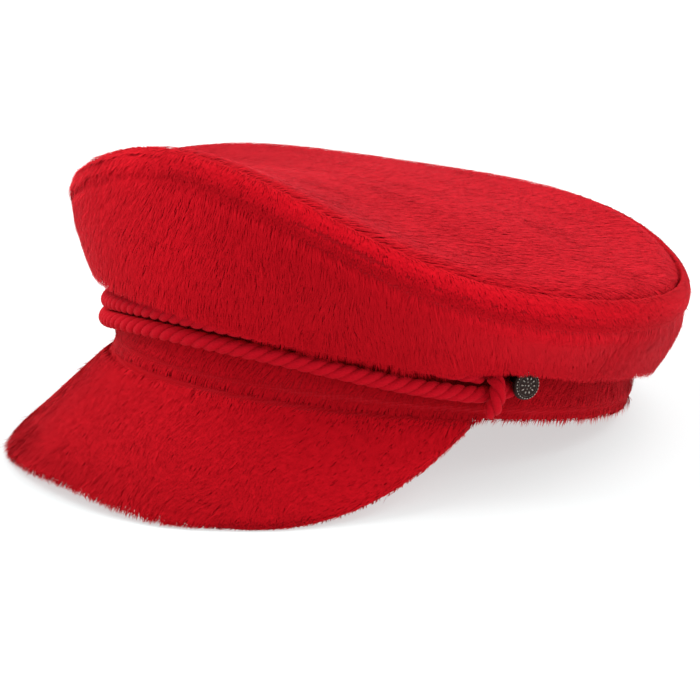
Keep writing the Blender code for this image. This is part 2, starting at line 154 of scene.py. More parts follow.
def angle_setting(name, description, degrees):
    return bpy.props.FloatProperty(
        name=name, description=description, subtype="ANGLE", unit="ROTATION", default=math.radians(degrees))


class CapClothSettings(bpy.types.PropertyGroup):
    """Colours of the cloth and the fineness of its panels."""
    # The ground is the cloth's own colour kept darker than the pile, as painted shade in the gaps between
    # hairs and in the seams.
    ground: colour_setting("Ground", "Colour of the cloth under the pile", (0.42, 0.0016, 0.006))
    inside: colour_setting("Inside", "Colour of the cloth's bare back", (0.46, 0.008, 0.016))
    panel_levels: bpy.props.IntProperty(
        name="Panel levels", description="Subdivision levels of each cloth panel", default=2, min=1, max=3)


class CapPileSettings(bpy.types.PropertyGroup):
    """The hairs that stand on the cloth."""
    hair_width: length_setting("Hair width", "Width of one tuft of hairs", 0.00020)
    # Deep is the dark end of the pile's colour, towards which its painted shade falls at the foot of the
    # hairs and in the seams; bright is the light end.
    deep: colour_setting("Deep", "Colour at the foot of the pile", (0.36, 0.0012, 0.0045))
    bright: colour_setting("Bright", "Colour at the tips of the pile", (0.74, 0.0045, 0.015))
    seed: bpy.props.IntProperty(name="Seed", description="Seed of every random draw", default=7)


class CapCordSettings(bpy.types.PropertyGroup):
    """The twisted cords and their wraps."""
    lay: length_setting("Lay", "Length in which one ply goes once round the cord", 0.0144)
    plies: bpy.props.IntProperty(name="Plies", description="Plies in a cord", default=3, min=2, max=5)
    colour: colour_setting("Cord colour", "Colour of the cords", (0.56, 0.004, 0.014))


class CapStudSettings(bpy.types.PropertyGroup):
    """The round metal studs."""
    metal: colour_setting("Metal", "Colour of the worn high places", (0.40, 0.35, 0.31))
    tarnish: colour_setting("Tarnish", "Colour of the dark hollows", (0.045, 0.030, 0.027))
    beads: bpy.props.IntProperty(name="Beads", description="Beads round the rim", default=26, min=8, max=60)


class CapStageSettings(bpy.types.PropertyGroup):
    """Camera, floor and light."""
    azimuth: angle_setting("Azimuth", "Direction of the camera round the cap", 47.958)
    elevation: angle_setting("Elevation", "Height of the camera over the floor as an angle", 16.708)
    roll: angle_setting("Roll", "Turn of the camera about its own axis", -0.243)
    distance: length_setting("Distance", "Distance from the camera to the cap's middle", 1.3)
    lens: bpy.props.FloatProperty(name="Lens", description="Focal length in millimetres", default=184.5)
    floor: colour_setting("Floor", "Colour of the floor", (0.42, 0.45, 0.45))


# Materials


class Wire:
    """A socket that can be used in an expression."""

    def __init__(self, finish, socket):
        self.finish = finish
        self.socket = socket

    def maths(self, operation, first, second):
        return self.finish.node("ShaderNodeMath", {"operation": operation}, {0: first, 1: second})

    def __add__(self, other):
        return self.maths("ADD", self, other)

    def __sub__(self, other):
        return self.maths("SUBTRACT", self, other)

    def __rsub__(self, other):
        return self.maths("SUBTRACT", other, self)

    def __mul__(self, other):
        return self.maths("MULTIPLY", self, other)

    __radd__ = __add__
    __rmul__ = __mul__


class Finish:
    """A material made of nodes, one call for each node."""

    def __init__(self, name, **surface):
        self.material = bpy.data.materials.new(name)
        self.material.use_nodes = True
        self.tree = self.material.node_tree
        self.surface = self.tree.nodes["Principled BSDF"]
        for socket, value in surface.items():
            self.surface.inputs[socket.replace("_", " ").title().replace("Ior", "IOR")].default_value = value

    def node(self, kind, settings, inputs, output=0):
        made = self.tree.nodes.new(kind)
        for key, value in settings.items():
            setattr(made, key, value)
        for key, value in inputs.items():
            self.plug(made.inputs[key], value)
        return Wire(self, made.outputs[output])

    def plug(self, socket, value):
        if isinstance(value, Wire):
            self.tree.links.new(value.socket, socket)
        else:
            socket.default_value = value

    def attribute(self, name, output):
        return self.node("ShaderNodeAttribute", {"attribute_name": name}, {}, output)

    def mix(self, first, second, factor):
        """Colour between two others."""
        inputs = {0: factor, 6: (*first, 1.0), 7: (*second, 1.0)}
        return self.node("ShaderNodeMix", {"data_type": "RGBA"}, inputs, 2)

    def place(self):
        return self.node("ShaderNodeTexCoord", {}, {}, "Object")

    def noise(self, scale, roughness=0.6):
        inputs = {"Vector": self.place(), "Scale": scale, "Detail": 3.0, "Roughness": roughness}
        return self.node("ShaderNodeTexNoise", {}, inputs)

    def wave(self, direction, scale):
        """Threads side by side in one direction."""
        settings = {"wave_type": "BANDS", "bands_direction": direction}
        inputs = {"Vector": self.place(), "Scale": scale, "Distortion": 1.2, "Detail": 1.0}
        return self.node("ShaderNodeTexWave", settings, inputs, "Fac")

    def ramp(self, value, low, high):
        """Value from 0 at low to 1 at high, held there outside."""
        inputs = {"Value": value, "From Min": low, "From Max": high}
        return self.node("ShaderNodeMapRange", {"clamp": True}, inputs)

    def shown(self, colour, height=None, depth=0.0, strength=0.6):
        """The material with a colour and a bump."""
        self.plug(self.surface.inputs["Base Color"], colour)
        if height is not None:
            inputs = {"Height": height, "Distance": depth, "Strength": strength}
            self.plug(self.surface.inputs["Normal"], self.node("ShaderNodeBump", {}, inputs))
        return self.material


def pile_finish(name, deep, bright, sheen):
    """Hair: darker at its foot as painted shade deep in the pile, lighter or darker by the painted light and
    shade that each point carries, with a few random hairs painted lighter as highlights, and each tuft and
    each patch a little different.
    """
    finish = Finish(name, roughness=0.75, specular_ior_level=0.05, sheen_weight=sheen, sheen_roughness=0.5,
                    sheen_tint=(1.0, 0.17, 0.25, 1.0))
    hair = finish.attribute("hair", "Color")
    painted_light = Wire(finish, hair.socket.node.outputs["Alpha"])
    along = finish.node("ShaderNodeSeparateColor", {}, {"Color": hair}, "Red")
    shade = Wire(finish, along.socket.node.outputs["Green"])
    clump = Wire(finish, along.socket.node.outputs["Blue"])
    patch = finish.noise(38.0, 0.55)
    # Painted highlight: a few random hairs are made lighter.
    light = finish.ramp(shade, 0.94, 1.0)
    tone = (0.62 + 0.08 * along + 0.05 * (shade - 0.5) + 0.08 * (clump - 0.5) + 0.18 * (patch - 0.5)
            + 0.10 * light)
    return finish.shown(finish.mix(deep, bright, finish.ramp(tone * painted_light, 0.0, 0.9)))


def cloth_finish(name, ground, inside):
    """Backing cloth: a fine weave that shows on its bare inside."""
    finish = Finish(name, roughness=0.9, specular_ior_level=0.05)
    grain = finish.wave("X", 320.0) * 0.5 + finish.wave("Z", 300.0) * 0.5
    tone = finish.ramp(finish.noise(60.0) * 0.6 + grain * 0.4, 0.25, 0.75)
    return finish.shown(finish.mix(ground, inside, tone), grain, 0.0004)


def cord_finish(name, colour):
    """Spun cotton plies: fine yarns, with painted shade darker where the plies meet."""
    finish = Finish(name, roughness=0.85, specular_ior_level=0.05, sheen_weight=0.10, sheen_roughness=0.5,
                    sheen_tint=(1.0, 0.20, 0.24, 1.0))
    fine = finish.ramp(finish.noise(900.0), 0.3, 0.7)
    tone = 0.25 + 0.5 * finish.attribute("painted_ply_shade", "Fac") + 0.3 * fine
    dark = tuple(0.62 * channel for channel in colour)
    return finish.shown(finish.mix(dark, colour, finish.ramp(tone, 0.2, 0.95)), fine, 0.0002)


def metal_finish(name, metal, tarnish):
    """Old silver: bright on worn high places, nearly black in the hollows."""
    finish = Finish(name, metallic=1.0)
    spots = finish.noise(1500.0)
    wear = finish.ramp(finish.attribute("worn", "Fac") + 0.6 * (spots - 0.5), 0.38, 0.80)
    finish.plug(finish.surface.inputs["Roughness"], 0.62 - 0.30 * wear)
    return finish.shown(finish.mix(tarnish, metal, wear), spots, 0.00008, 0.4)


# Directions, distances and tables


def unit(vectors):
    return vectors / np.maximum(np.linalg.norm(vectors, axis=-1, keepdims=True), 1e-12)


def flat_on(vectors, normals):
    """Vectors without their part along the normals."""
    return vectors - normals * np.sum(vectors * normals, axis=1, keepdims=True)


def smooth_step(value, low, high):
    """0 below low, 1 above high and a smooth rise between."""
    share = np.clip((value - low) / (high - low), 0.0, 1.0)
    return share * share * (3 - 2 * share)


def ridge(value, at, width):
    """1 at a place and falling off to 0 on both sides."""
    return np.exp(-((value - at) / width) ** 2)


def dip(away, width, depth):
    """A factor that falls by a depth at a line and is 1 away from it."""
    return 1 - depth * ridge(away, 0.0, width)


def look_up(values, table, period=None):
    """Read a table, straight between its entries."""
    return np.interp(values, list(table), list(table.values()), period=period)


def mesh_arrays(mesh):
    """Points and triangles of a mesh."""
    mesh.calc_loop_triangles()
    points = np.empty(len(mesh.vertices) * 3)
    mesh.vertices.foreach_get("co", points)
    triangles = np.empty(len(mesh.loop_triangles) * 3, dtype=np.int64)
    mesh.loop_triangles.foreach_get("vertices", triangles)
    return points.reshape(-1, 3), triangles.reshape(-1, 3)


def node_points(node):
    return mesh_arrays(frame["nodes"][node].data)[0]


def tree_of(*nodes):
    """Search tree over the solids of CAD nodes."""
    points, triangles, start = [], [], 0
    for node in nodes:
        own_points, own_triangles = mesh_arrays(frame["nodes"][node].data)
        points.append(own_points)
        triangles.append(own_triangles + start)
        start += len(own_points)
    return BVHTree.FromPolygons(np.concatenate(points).tolist(), np.concatenate(triangles).tolist())


def point_tree(points):
    """Search tree over points."""
    tree = KDTree(len(points))
    for index, point in enumerate(points.tolist()):
        tree.insert(point, index)
    tree.balance()
    return tree


def distance_to(tree, points, most=0.02):
    """Distance from each point to a solid, no further than most."""
    found = (tree.find_nearest(point, most)[3] for point in points.tolist())
    return np.array([most if away is None else away for away in found])


BAND_REACH = (node_points("band") - RIM_POINT) @ CAP_BACK
BAND_MIDDLE = 0.5 * (BAND_REACH.min() + BAND_REACH.max())


def in_cap(points):
    """Points in the cap's own directions: left, back, and up from the band's lower rim."""
    from_rim = points - RIM_POINT
    return np.stack([points[:, 0], from_rim @ CAP_BACK - BAND_MIDDLE, from_rim @ CAP_UP], axis=1)


def height_of(points):
    """Height over the band's lower rim."""
    return in_cap(points)[:, 2]


def outwards(points):
    """Level directions away from the cap's upright axis."""
    flat = in_cap(points)
    flat[:, 2] = 0.0
    flat = unit(flat)
    return flat[:, :1] * CAP_LEFT + flat[:, 1:2] * CAP_BACK


def turn_of(points):
    """Turn of each point, 0 at the front."""
    flat = in_cap(points)
    return np.degrees(np.arctan2(flat[:, 0], -flat[:, 1]))


def by_turn(points, table):
    """Read a table of turns that goes on round the cap."""
    return look_up(turn_of(points) % 360, table, 360)


def ripple(points, length, seed):
    """A smooth wandering number between about -1 and 1 at each point."""
    random = np.random.default_rng(seed)
    total = np.zeros(len(points))
    for _ in range(7):
        way = unit(random.normal(size=3)) * (2 * math.pi / length) * random.uniform(0.6, 1.5)
        total = total + np.sin(points @ way + random.uniform(0, 2 * math.pi))
    return total / 2.6


# Pieces


def link(piece):
    bpy.context.scene.collection.objects.link(piece)
    return piece


def edit_all(piece):
    """Open one object for editing, with all of it selected."""
    bpy.ops.object.select_all(action="DESELECT")
    piece.hide_set(False)
    piece.select_set(True)
    bpy.context.view_layer.objects.active = piece
    bpy.ops.object.mode_set(mode="EDIT")
    bpy.ops.mesh.select_all(action="SELECT")


def new_piece(name, mesh, material):
    mesh.materials.append(material)
    return link(bpy.data.objects.new(name, mesh))


def ring_faces(first, rows, around):
    """Faces between neighbouring rings of points."""
    return [(low + k, low + (k + 1) % around, low + around + (k + 1) % around, low + around + k)
            for low in range(first, first + (rows - 1) * around, around) for k in range(around)]


def fan_faces(pole, first, around, order):
    """Faces between a pole and one ring of points."""
    pairs = [(first + k, first + (k + 1) % around) for k in range(around)]
    return [(pole, *pair[::order]) for pair in pairs]


def closed_piece(name, points, faces, attribute, values, material):
    """A smooth closed mesh with a number at every point."""
    mesh = bpy.data.meshes.new(name)
    mesh.from_pydata([tuple(point) for point in points], [], faces)
    mesh.attributes.new(attribute, "FLOAT", "POINT").data.foreach_set("value", values)
    mesh.shade_smooth()
    piece = new_piece(name, mesh, material)
    edit_all(piece)
    bpy.ops.mesh.normals_make_consistent(inside=False)
    bpy.ops.object.mode_set(mode="OBJECT")
    return piece


def belongs(piece):
    """Let a piece ride on the root body."""
    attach(piece, "root")


# Cloth panels


def close_seams(piece, neighbours):
    """Bring a panel's edge across the small gap to the panels that it is sewn to."""
    for vertex in piece.data.vertices:
        place = neighbours.find_nearest(vertex.co, SEAM_GAP)[0]
        if place is not None:
            vertex.co = vertex.co.lerp(place, SEAM_PULL)


def cloth_panel(node, name, levels, material):
    """A smooth copy of a cloth node, its loose triangles joined again."""
    piece = link(frame["nodes"][node].copy())
    piece.data = piece.data.copy()
    piece.name = name
    piece.data.name = name
    piece.parent = None
    piece.matrix_world = Matrix.Identity(4)
    edit_all(piece)
    bpy.ops.mesh.remove_doubles(threshold=WELD)
    bpy.ops.mesh.tris_convert_to_quads(face_threshold=JOIN_ANGLE, shape_threshold=JOIN_ANGLE)
    bpy.ops.mesh.select_all(action="DESELECT")
    bpy.ops.mesh.edges_select_sharp(sharpness=SHARP_ANGLE)
    bpy.ops.transform.edge_crease(value=1.0)
    bpy.ops.object.mode_set(mode="OBJECT")
    smooth = piece.modifiers.new("smooth", "SUBSURF")
    smooth.levels = levels
    smooth.render_levels = levels
    bpy.ops.object.modifier_apply(modifier="smooth")
    close_seams(piece, tree_of(*(other for other in CLOTH_NODES if other != node)))
    bpy.ops.object.shade_smooth()
    piece.data.materials.clear()
    piece.data.materials.append(material)
    belongs(piece)
    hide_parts(node)


class CAP_OT_cloth(bpy.types.Operator):
    """Make the backing cloth of the crown's panels, the band and the peak"""
    bl_idname = "cap.cloth"
    bl_label = "Cloth panels"

    def execute(self, context):
        settings = context.scene.cap_cloth
        material = cloth_finish("backing_cloth", settings.ground, settings.inside)
        for node, name in CLOTH_NODES.items():
            cloth_panel(node, name, settings.panel_levels, material)
        return {"FINISHED"}


# Lines on the cap that the pile keeps to


def stitch_marks():
    """Points on the stitch line, the crease that runs round the crown's wall."""
    marks = []
    for node in SIDE_NODES:
        mesh = bmesh.new()
        mesh.from_mesh(frame["nodes"][node].data)
        bmesh.ops.remove_doubles(mesh, verts=mesh.verts, dist=WELD)
        for edge in mesh.edges:
            if len(edge.link_faces) != 2 or edge.calc_face_angle_signed() > CREASE_ANGLE:
                continue
            ends = np.array([vertex.co for vertex in edge.verts])
            middle = ends.mean(axis=0, keepdims=True)
            out = outwards(middle)[0]
            normal = np.array(edge.link_faces[0].normal) + np.array(edge.link_faces[1].normal)
            level = abs(unit(ends[1] - ends[0]) @ out) < 0.5
            if level and normal @ out > 0.4 and height_of(middle)[0] > CREASE_HEIGHT:
                marks.extend(ends[0] + (ends[1] - ends[0]) * step for step in np.linspace(0, 1, 9))
        mesh.free()
    return np.array(marks)


def fold_heights():
    """Table of the crown's fold: its lowest height at each turn."""
    points = np.concatenate([node_points(node) for node in SIDE_NODES])
    turns, heights = turn_of(points), height_of(points)
    return {middle: heights[np.abs((turns - middle + 180) % 360 - 180) < FOLD_STEP].min()
            for middle in range(-180, 181, FOLD_STEP)}


BLOCKERS = tree_of(*CLOTH_NODES)
TOP_TREE = tree_of("crown_top")
SIDE_TREE = tree_of(*SIDE_NODES)
BAND_TREE = tree_of("band")
PEAK_TREE = tree_of("peak")
STRIP_WIDTH = np.median(distance_to(TOP_TREE, stitch_marks()))
FOLD_HEIGHT = fold_heights()


def over_stitch(points):
    """Distance to the stitch line, negative below it."""
    return STRIP_WIDTH - distance_to(TOP_TREE, points)


def over_fold(points):
    return height_of(points) - look_up(turn_of(points), FOLD_HEIGHT)


def over_hem(points):
    return height_of(points) - HEM_HEIGHT


def blended(points):
    """Where the pile closes over the stitch line, on the wearer's right."""
    turns = turn_of(points)
    return smooth_step(-turns, -8.0, 6.0) * smooth_step(turns, -86.0, -70.0)


def seam_depth(points):
    """The top seam lies open on the wearer's left."""
    turns = turn_of(points)
    return 0.30 + 0.60 * smooth_step(turns, 0.0, 16.0) * smooth_step(-turns, -112.0, -96.0)


# Pile of the crown's wall


def comb_wall(slants):
    """Nap of an upright panel: down, with a slant that follows the turn."""
    def comb(points):
        slant = np.radians(by_turn(points, slants))[:, None]
        return -CAP_UP * np.cos(slant) + np.cross(CAP_UP, outwards(points)) * np.sin(slant)
    return comb


def side_lean(points):
    """The strip's fuzz points one way all across it."""
    above, closed = over_stitch(points), blended(points)
    share = (1 - closed) * smooth_step(above, -0.0015, 0.0015) + closed * smooth_step(above, -0.012, -0.003)
    return 0.10 * CAP_UP + 1.2 * share[:, None] * (outwards(points) + 0.30 * CAP_UP)


def side_length(points):
    """Longer just above the fold, shorter on the strip."""
    shorter = 1 - 0.4 * smooth_step(over_stitch(points), 0.0, 0.002)
    return shorter * (1 + 0.9 * smooth_step(-over_fold(points), -0.009, -0.003))


def side_height(points):
    """Closer near the fold at the back and on the strip."""
    back = smooth_step(np.abs(turn_of(points)), 98.0, 115.0)
    near_fold = 1 - 0.30 * back * smooth_step(-over_fold(points), -0.016, -0.006)
    return near_fold * (1 - 0.5 * smooth_step(over_stitch(points), 0.0, 0.002))


def side_share(points, normals):
    """More hairs on the round strip, where they fan out."""
    return 1 + 1.4 * smooth_step(over_stitch(points), -0.002, 0.0)


def side_loose(points):
    """Hairs hang free under the fold, but follow the strip's round."""
    return np.maximum(smooth_step(-over_stitch(points), -0.0004, 0.0008), blended(points))


def side_groove(points):
    """The pile sinks along the seams and the stitch line."""
    above, fill = over_stitch(points), blended(points)
    upright_seam = np.abs(np.abs(turn_of(points)) - SIDE_SEAM_TURN) * math.radians(1) * CROWN_RADIUS
    stitch = dip(above, STITCH_WIDTH, 0.5 * (1 - fill)) + (0.2 + 0.4 * fill) * ridge(above, -0.001, 0.003)
    top = dip(distance_to(TOP_TREE, points), 0.0020, seam_depth(points))
    return top * stitch * dip(upright_seam, 0.0010, 0.2)


def side_shade(points):
    """More light on the strip and just under it, less in the seam and the stitch line."""
    above = over_stitch(points)
    under = 0.14 * ridge(above, 0.0, 0.007) * (above < 0)
    lines = dip(above, STITCH_WIDTH, 0.45 * (1 - blended(points)))
    lines = lines * dip(distance_to(TOP_TREE, points), 0.0017, 0.55 * seam_depth(points))
    turned = (by_turn(points, WALL_LIGHT) - 1) * smooth_step(-above, -0.001, 0.004)
    even = look_up(above / STRIP_WIDTH, {-0.05: 0.0, 0.1: 0.36, 0.3: 0.24, 0.6: -0.26, 1.0: -0.50})
    held = by_turn(points, STRIP_LIGHT) - 1
    return lines * (1 + under + turned + even + held * smooth_step(above, 0.0, 0.002))


def stopped_above(room, reach, lengths):
    """Share of a hair that grows down and ends before a line below it."""
    return np.where(room > 0, np.clip((room + reach) / lengths, 0.12, 1.0), 1.0)


def stop_wall(places, way, lengths):
    """End a hair at the stitch line, or a little below the fold, over the cords."""
    low = look_up(turn_of(places), FRINGE_DROP)
    ragged = 0.92 + 0.14 * ripple(places, 0.006, 31).clip(-1, 1)
    share = np.clip((over_fold(places) + low * ragged) / lengths, 0.10, 1.0)
    long_reach = 0.0003 + 0.0033 * smooth_step(-turn_of(places), -40.0, -16.0)
    reach = np.where(ripple(places, 0.0009, 37) > 0.1, long_reach, 0.0001)
    stopped = stopped_above(over_stitch(places), reach, lengths)
    return np.minimum(share, stopped + (1 - stopped) * blended(places))


# Pile of the crown's top, the band and the peak


def full(points, *rest):
    return np.ones(len(points))


def upright(points):
    return np.zeros(points.shape)


def longest(places, way, lengths, shares, free):
    """The last of a row of shares of a hair up to which it runs free."""
    share = np.full(len(places), shares[0])
    going = np.ones(len(places), dtype=bool)
    for step in shares[1:]:
        going &= free(places + way * (lengths * step)[:, None])
        share = np.where(going, step, share)
    return share


def comb_top(points):
    """Backwards, and a little to the wearer's left."""
    return CAP_BACK + CAP_LEFT * (0.38 + 5.0 * np.maximum(points[:, :1], 0.0))


def top_groove(points):
    return dip(distance_to(SIDE_TREE, points), 0.0024, seam_depth(points))


def top_shade(points):
    """More light towards the back and the wearer's left."""
    seam = dip(distance_to(SIDE_TREE, points), 0.0017, 0.55 * seam_depth(points))
    across = look_up(points[:, 0], {-0.08: 0.78, -0.02: 0.90, 0.03: 0.97, 0.08: 1.06})
    return seam * across * look_up(points[:, 1], {-0.08: 0.90, -0.02: 0.98, 0.06: 1.08})


def stop_at_seam(places, way, lengths):
    """End a hair of the top before the seam."""
    margin = np.where(seam_depth(places) > 0.5, 0.0009, 0.0001)
    return longest(places, way, lengths, (0.15, 0.25, 0.4, 0.55, 0.7, 0.85, 1.0),
                   lambda ahead: distance_to(SIDE_TREE, ahead) > margin)


def comb_band(points):
    """Down with a slant, and outwards over the peak's seam."""
    low = smooth_step(-in_cap(points)[:, 2:], -0.0030, -0.0010)
    low = low * (np.abs(turn_of(points)[:, None]) < PEAK_TURN)
    along = np.cross(CAP_UP, outwards(points)) * math.sin(BAND_SLANT)
    return -CAP_UP * math.cos(BAND_SLANT) + along * (1 - low) + outwards(points) * low


def band_share(points, normals):
    """More hairs where the band meets the peak."""
    low = (height_of(points) < PEAK_SEAM_HEIGHT) & (np.abs(turn_of(points)) < PEAK_TURN + 2)
    return np.where(low, 2.6, 1.0)


def band_length(points):
    return np.where(height_of(points) < PEAK_SEAM_HEIGHT, 0.75, 1.0)


def band_height(points):
    """Longer and fluffier at the back of the band."""
    return 1 + 0.4 * smooth_step(np.abs(turn_of(points)), 92.0, 112.0)


def band_groove(points):
    return dip(over_hem(points), HEM_WIDTH, 0.8)


def band_shade(points):
    return dip(over_hem(points), HEM_WIDTH, 0.35) * by_turn(points, BAND_LIGHT)


def stop_band(places, way, lengths):
    """End a band hair at the hem's stitch line."""
    return stopped_above(over_hem(places), 0.0004, lengths)


def peak_share(points, normals):
    """Fewer hairs under the peak."""
    return np.where(normals[:, 2] < -0.2, 0.3, 1.0)


def peak_height(points):
    """Higher at the rim on the wearer's right."""
    inner = smooth_step(distance_to(BAND_TREE, points, 0.05), 0.030, 0.046)
    return 1 + 0.9 * inner * smooth_step(-points[:, 0], -0.045, 0.0)


def peak_groove(points):
    return dip(distance_to(BAND_TREE, points), 0.0022, 0.8)


def peak_shade(points):
    """More light near the band and towards the wearer's right."""
    away = distance_to(BAND_TREE, points, 0.06)
    inwards = look_up(away, {0.0: 1.20, 0.015: 1.00, 0.035: 0.84, 0.050: 0.66}) * dip(away, 0.0018, 0.5)
    return inwards * look_up(points[:, 0], {-0.08: 1.50, -0.04: 1.26, 0.0: 1.02, 0.035: 0.90, 0.055: 0.84,
                                            0.075: 0.96, 0.09: 1.06})


def stop_at_edge(places, way, lengths):
    """Trim the peak's hairs along its edge."""
    limit = look_up(places[:, 0], PEAK_TRIM)
    return longest(places, way, lengths, (0.12, 0.2, 0.35, 0.5, 0.65, 0.8, 1.0),
                   lambda ahead: distance_to(PEAK_TREE, ahead) < limit + 0.0008)


# What each pile is like


def straight(way):
    return lambda points: np.broadcast_to(way, points.shape)


def leaning(level, rise):
    """Directions outwards that rise or fall."""
    return lambda points: unit(outwards(points) * level + CAP_UP * rise)


# Painted light and shade: how much lighter or darker each panel's copy of the pile's colour is, and the
# weight of its sheen.
PAINTED_LIGHT_AND_SHEEN = {
    "wall_pile": (1.06, 0.11),
    "top_pile": (0.92, 0.16),
    "band_pile": (0.86, 0.08),
    "peak_pile": (1.04, 0.10),
}
# The ways in which light gets at a panel's outer side.
LOOK_OUT = [leaning(1.0, 0.3), leaning(0.3, 1.0), leaning(1.0, -0.55)]
PLAIN = dict(lean=upright, longer=full, taller=full, loose=full, share=full, hang=0.0)
WALL = dict(
    pile_material="wall_pile", ways=LOOK_OUT, seat=BAND_TREE, length=0.0076, height=0.0015, wild=0.008, swing=8,
    stray=8, sway=11, tuft=0.0018, width=1.1, groove=side_groove, shade=side_shade, longer=side_length,
    taller=side_height, lean=side_lean, share=side_share, cut=stop_wall, hang=1.0, loose=side_loose)
PILES = {
    "crown_front_pile": dict(WALL, node="crown_side_front", seed=1, count=64000, comb=comb_wall(FRONT_SLANT)),
    "crown_back_pile": dict(WALL, node="crown_side_back", seed=2, count=49000, comb=comb_wall(BACK_SLANT)),
    "crown_top_pile": dict(
        PLAIN, node="crown_top", pile_material="top_pile", ways=[straight(CAP_UP)], seat=None, seed=3, count=64000,
        length=0.0058, height=0.0014, wild=0.0, swing=6, stray=7, sway=10, tuft=0.0022, width=1.05,
        groove=top_groove, shade=top_shade, cut=stop_at_seam, comb=comb_top),
    "band_pile": dict(
        PLAIN, node="band", pile_material="band_pile", ways=LOOK_OUT + [leaning(0.2, -1.0)], seat=PEAK_TREE, seed=4,
        count=29000, length=0.0056, height=0.0011, wild=0.01, swing=7, stray=7, sway=9, tuft=0.0022,
        width=1.0, groove=band_groove, shade=band_shade, longer=band_length, taller=band_height,
        share=band_share, cut=stop_band, hang=0.6, comb=comb_band),
    "peak_pile": dict(
        PLAIN, node="peak", pile_material="peak_pile", ways=LOOK_OUT + [leaning(0.0, -1.0)], seat=BAND_TREE, seed=5,
        count=49000, length=0.0066, height=0.0012, wild=0.008, swing=9, stray=10, sway=12, tuft=0.0021,
        width=1.05, groove=peak_groove, shade=peak_shade, taller=peak_height, share=peak_share,
        cut=stop_at_edge, comb=straight(np.array([0.18, -0.85, -0.50]))),
}


# Growing the pile


def open_faces(centres, normals, ways):
    """Faces that a ray can leave in one of the ways."""
    free = np.zeros(len(centres), dtype=bool)
    starts = centres + normals * LIFT
    for way in ways:
        directions = way(centres)
        for index in np.flatnonzero(~free):
            if directions[index] @ normals[index] > 0.0:
                free[index] = BLOCKERS.ray_cast(starts[index], directions[index])[0] is None
    return free


class Surface:
    """The outer side of a cloth panel, to grow hairs on."""

    def __init__(self, piece, ways, seat):
        points, triangles = mesh_arrays(piece.data)
        corners = points[triangles]
        cross = np.cross(corners[:, 1] - corners[:, 0], corners[:, 2] - corners[:, 0])
        centres = corners.mean(axis=1)
        keep = open_faces(centres, unit(cross), ways)
        if seat is not None:
            keep &= distance_to(seat, centres) > SEAT_GAP
        self.corners = corners[keep]
        own = np.zeros(points.shape)
        for column in range(3):
            np.add.at(own, triangles[keep][:, column], cross[keep])
        self.corner_normals = unit(own)[triangles[keep]]
        self.area = 0.5 * np.linalg.norm(cross[keep], axis=1)
        self.face_normals = unit(self.corner_normals.mean(axis=1))
        self.centres = centres[keep]
        self.tree = BVHTree.FromPolygons(points.tolist(), triangles[keep].tolist())

    def scatter(self, count, random, share):
        """Evenly spread places, with their normals."""
        total = np.cumsum(self.area * share(self.centres, self.face_normals))
        index = np.arange(count)
        wanted = (index + random.random(count)) / count * total[-1]
        picked = np.searchsorted(total, wanted).clip(0, len(total) - 1)
        first = np.sqrt((0.5 + index * 0.7548776662) % 1.0)[:, None]
        second = ((0.5 + index * 0.5698402910) % 1.0)[:, None]
        parts = np.concatenate([1 - first, first * (1 - second), first * second], axis=1)
        places = np.einsum("ni,nij->nj", parts, self.corners[picked])
        normals = unit(np.einsum("ni,nij->nj", parts, self.corner_normals[picked]))
        return places, normals

    def nearest(self, points):
        """Nearest places, with their smooth normals."""
        found = [self.tree.find_nearest(point) for point in points.tolist()]
        places = np.array([hit[0] for hit in found])
        return places, self.face_normals[np.array([hit[2] for hit in found])]


def grow(surface, roots, normals, nap, lengths, heights, groove, loose):
    """Points along each hair, which lies down along the nap and follows the surface."""
    rows = [roots - normals * ROOT_DEPTH]
    here, facing = roots, normals
    way = nap(roots, normals)
    for before, after in zip(HAIR_STEPS, HAIR_STEPS[1:]):
        ahead = here + way * (lengths * (after - before))[:, None]
        place, turned = surface.nearest(ahead)
        follow = smooth_step(np.sum(turned * normals, axis=1), 0.25, 0.75)
        under = smooth_step((normals - turned) @ CAP_UP, 0.12, 0.32) * loose
        follow = (follow * (1 - under))[:, None]
        here = (place + flat_on(ahead - place, turned)) * follow + ahead * (1 - follow)
        facing = unit(turned * follow + normals * (1 - follow))
        rise = heights * after ** 0.75 * groove(place)
        rows.append(here + facing * rise[:, None])
        way = unit(nap(here, facing) * follow + way * (1 - follow))
    return np.stack(rows, axis=1), facing


def to_corners(rows):
    """What a hair's points hold, given to both sides of its strip and once to its tip."""
    return np.concatenate([np.repeat(rows[:, :-1], 2, axis=1), rows[:, -1:]], axis=1)


